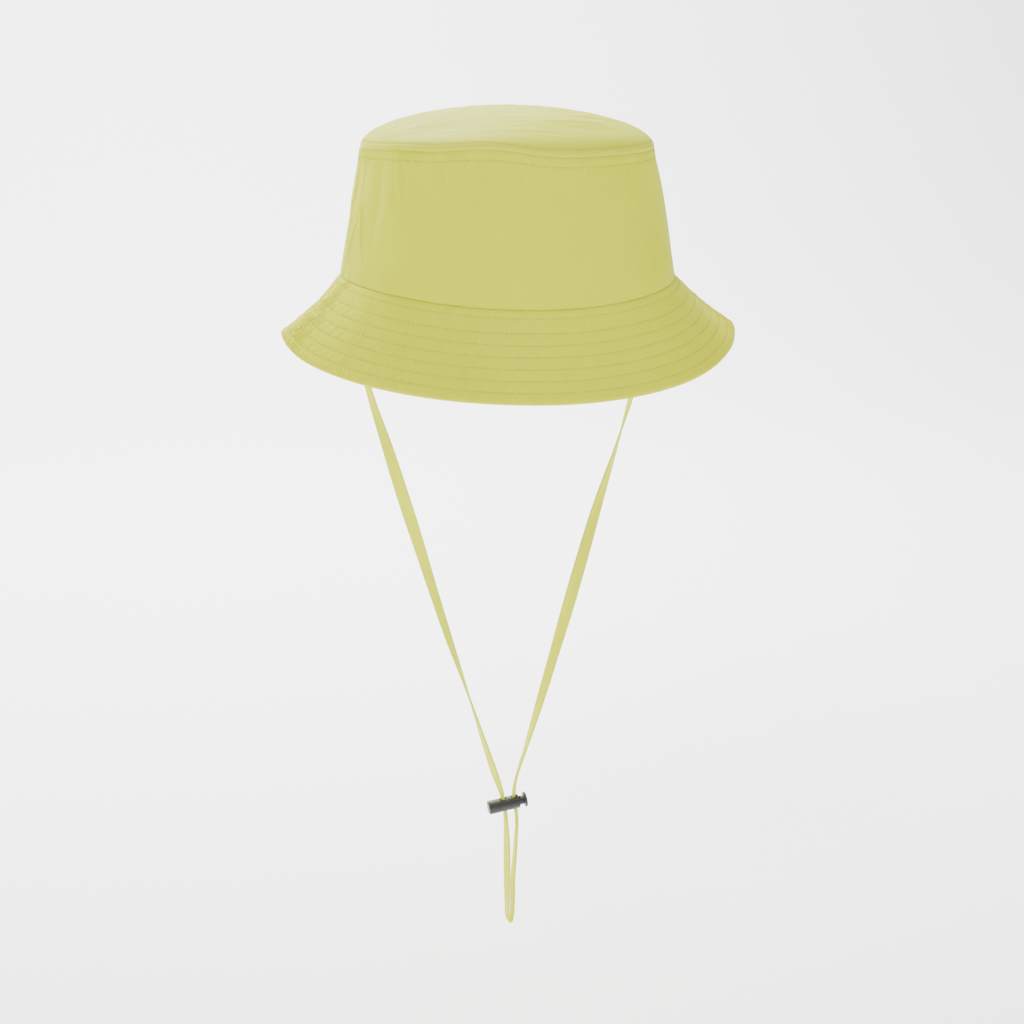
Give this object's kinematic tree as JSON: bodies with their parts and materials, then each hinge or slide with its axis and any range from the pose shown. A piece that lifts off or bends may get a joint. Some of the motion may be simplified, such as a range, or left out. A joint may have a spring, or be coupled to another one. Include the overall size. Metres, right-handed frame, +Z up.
{
  "type": "surf bucket hat",
  "caption": "Soft bucket hat with a rounded oval crown, a sloping brim stitched in rows, and a flat chin strap gathered through a sprung barrel toggle.",
  "frame": {"origin": "middle of the head opening, level with the seam between crown and brim at the hat's two sides", "axes": "+X to the right as seen from the front, +Y to the back, +Z up, so the front of the brim faces -Y"},
  "size_m": [0.2529, 0.2395, 0.4678],
  "materials": {
    "tip_cloth": "thin bright yellow nylon, slightly glossy",
    "crown_cloth": "thin bright yellow nylon, slightly glossy",
    "brim_cloth": "two layers of bright yellow nylon stitched in rows",
    "strap_cloth": "folded and stitched tape of bright yellow nylon",
    "toggle_plastic": "moulded, satin dark grey"
  },
  "bodies": {
    "hat": {"crown_tip": "tip_cloth", "crown_front": "crown_cloth", "crown_back": "crown_cloth", "brim_front": "brim_cloth", "brim_back": "brim_cloth", "chin_strap": "strap_cloth", "toggle_barrel": "toggle_plastic"},
    "plunger": {"toggle_plunger": "toggle_plastic"}
  },
  "joints": [
    {"name": "plunger_press", "type": "slide", "parent": "hat", "child": "plunger", "axis": [-0.9877, 0, -0.1564], "range_m": [0, 0.0023], "stiffness_N_per_m": 900}
  ]
}
